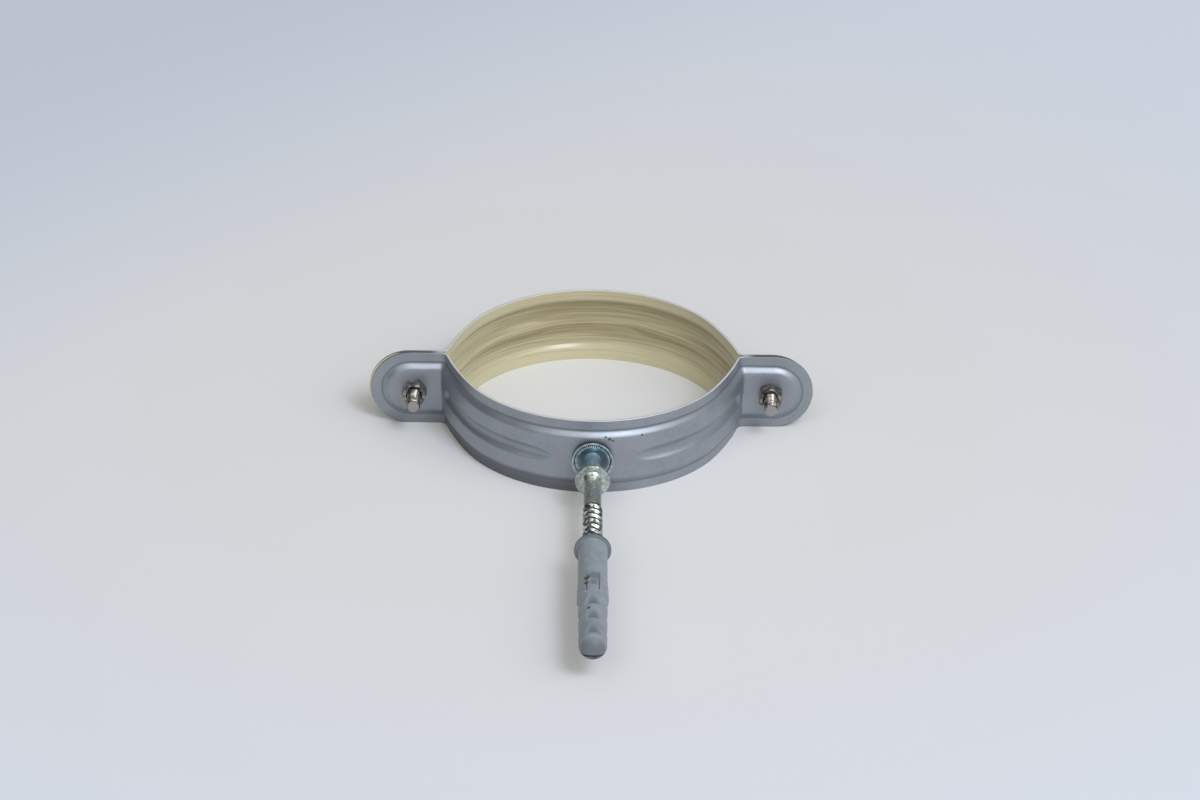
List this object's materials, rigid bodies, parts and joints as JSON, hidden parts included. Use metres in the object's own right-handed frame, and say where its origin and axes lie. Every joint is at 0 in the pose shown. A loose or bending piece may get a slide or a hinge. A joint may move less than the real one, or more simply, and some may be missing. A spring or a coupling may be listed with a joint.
{
  "type": "pipe clamp",
  "caption": "Unlined two-half sheet steel pipe clamp with bolted ears, on a hanger screw in a riveted bush, with a nylon wall plug.",
  "frame": {"origin": "centre of the pipe bore, at the middle of the band's width", "axes": "+Z along the pipe, -Y towards the wall along the hanger screw, X from ear to ear"},
  "size_m": [0.1626, 0.2338, 0.029],
  "materials": {
    "coated_sheet": "satin",
    "bush_zinc": "satin",
    "screw_zinc": "satin",
    "plug_nylon": "matte",
    "fastener_steel": "polished"
  },
  "bodies": {
    "front_half": {"front_half_band": "coated_sheet", "threaded_bush": "bush_zinc"},
    "rear_half": {"rear_half_band": "coated_sheet", "left_clamp_screw": "fastener_steel", "right_clamp_screw": "fastener_steel"},
    "left_nut": {"left_clamp_nut": "fastener_steel"},
    "right_nut": {"right_clamp_nut": "fastener_steel"},
    "hanger": {"hanger_screw": "screw_zinc"},
    "plug": {"wall_plug": "plug_nylon"}
  },
  "joints": [
    {"name": "clamp_opening", "type": "slide", "parent": "front_half", "child": "rear_half", "axis": [0, 1, 0], "range_m": [0, 0.008]},
    {"name": "left_nut_turn", "type": "hinge", "parent": "front_half", "child": "left_nut", "pos_m": [-0.0652, 0, 0], "axis": [0, -1, 0], "range_deg": [0, 3610]},
    {"name": "right_nut_turn", "type": "hinge", "parent": "front_half", "child": "right_nut", "pos_m": [0.0652, 0, 0], "axis": [0, -1, 0], "range_deg": [0, 3610]},
    {"name": "hanger_screw_turn", "type": "hinge", "parent": "front_half", "child": "hanger", "pos_m": [0, 0, 0], "axis": [0, 1, 0], "continuous": true},
    {"name": "plug_pull_off", "type": "slide", "parent": "hanger", "child": "plug", "axis": [0, -1, 0], "range_m": [0, 0.046]}
  ],
  "couplings": [
    {"joint": "left_nut_turn", "follows": "clamp_opening", "rad_per_m": 7854},
    {"joint": "right_nut_turn", "follows": "clamp_opening", "rad_per_m": 7854}
  ]
}
